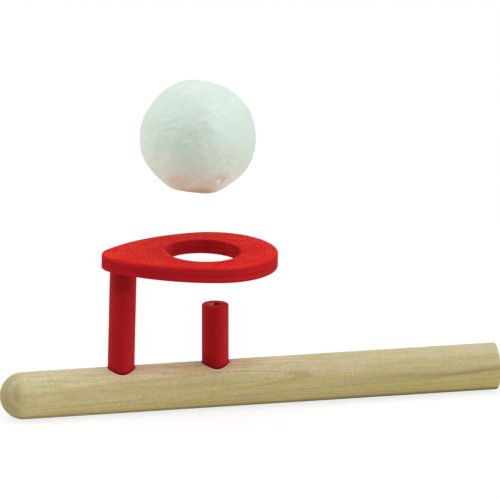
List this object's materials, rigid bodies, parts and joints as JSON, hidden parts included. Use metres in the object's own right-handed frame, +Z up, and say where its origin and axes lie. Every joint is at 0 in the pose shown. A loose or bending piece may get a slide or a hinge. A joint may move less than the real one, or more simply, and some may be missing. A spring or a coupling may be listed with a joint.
{
  "type": "floating ball game",
  "caption": "Wooden blow pipe toy: an upright nozzle blows a jet of air through a teardrop hoop plate on a post and floats a foam ball above it.",
  "frame": {"origin": "on the pipe's axis, midway between the nozzle and the mouth end, in the middle of the hand grip", "axes": "+X along the pipe to the mouth end, +Z up along the nozzle, +Y across the pipe"},
  "size_m": [0.1716, 0.0434, 0.1148],
  "materials": {
    "pale_wood": "satin",
    "red_dowel_paint": "satin",
    "red_plate_paint": "satin",
    "white_foam": "matte"
  },
  "bodies": {
    "toy": {"blow_pipe": "pale_wood", "nozzle": "red_dowel_paint", "post": "red_dowel_paint", "hoop_plate": "red_plate_paint"},
    "ball": {"ball": "white_foam"}
  },
  "joints": [
    {"name": "ball_float", "type": "slide", "parent": "toy", "child": "ball", "axis": [-0.0868, 0, 0.9962], "range_m": [-0.02524, 0.1]}
  ]
}
